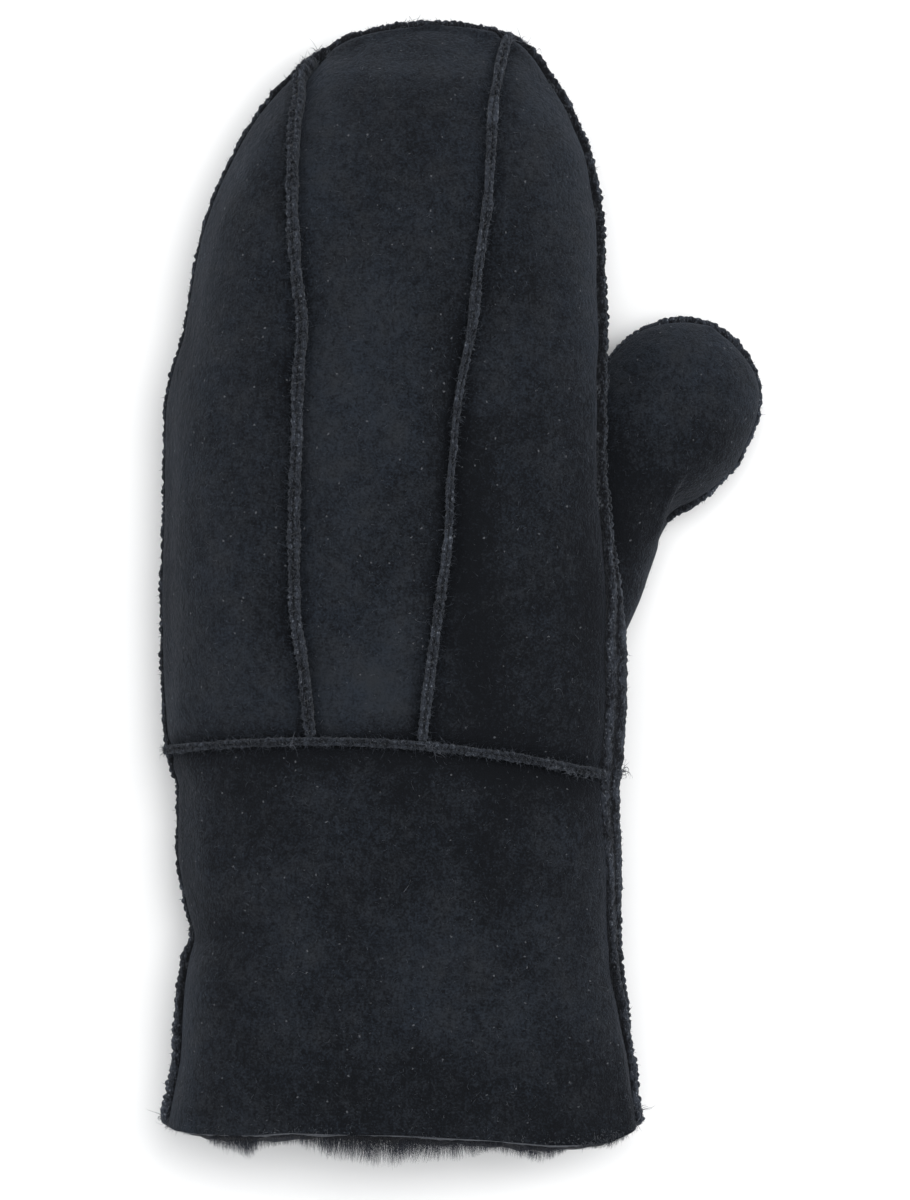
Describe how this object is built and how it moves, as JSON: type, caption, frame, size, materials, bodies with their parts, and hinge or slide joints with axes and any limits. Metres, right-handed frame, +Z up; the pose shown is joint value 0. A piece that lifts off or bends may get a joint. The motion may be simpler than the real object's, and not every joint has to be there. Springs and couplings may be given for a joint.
{
  "type": "leather mitten",
  "caption": "Sheepskin mitten for the left hand, suede outside and fleece inside, with raised edge seams, lying palm down with its cuff open.",
  "frame": {"origin": "under the middle of the mitten, on the surface that it lies on", "axes": "+X to the thumb's side, +Y from the cuff to the fingertips, +Z up through the back of the hand"},
  "size_m": [0.1576, 0.2962, 0.051],
  "materials": {
    "suede": "brushed suede, matt, with cloudy patches",
    "seam": "cut suede edges overcast with dark thread, matt",
    "fleece": "clipped curly wool"
  },
  "bodies": {
    "root": {"centre_back_panel": "suede", "little_finger_back_panel": "suede", "thumb_side_back_panel": "suede", "palm_panel": "suede", "cuff_back_panel": "suede", "cuff_palm_panel": "suede", "thumb_back_panel": "suede", "thumb_palm_panel": "suede", "edge_seam": "seam", "little_finger_back_seam": "seam", "thumb_side_back_seam": "seam", "wrist_back_seam": "seam", "wrist_palm_seam": "seam", "thumb_edge_seam": "seam", "thumb_base_seam": "seam", "fleece": "fleece"}
  },
  "joints": []
}
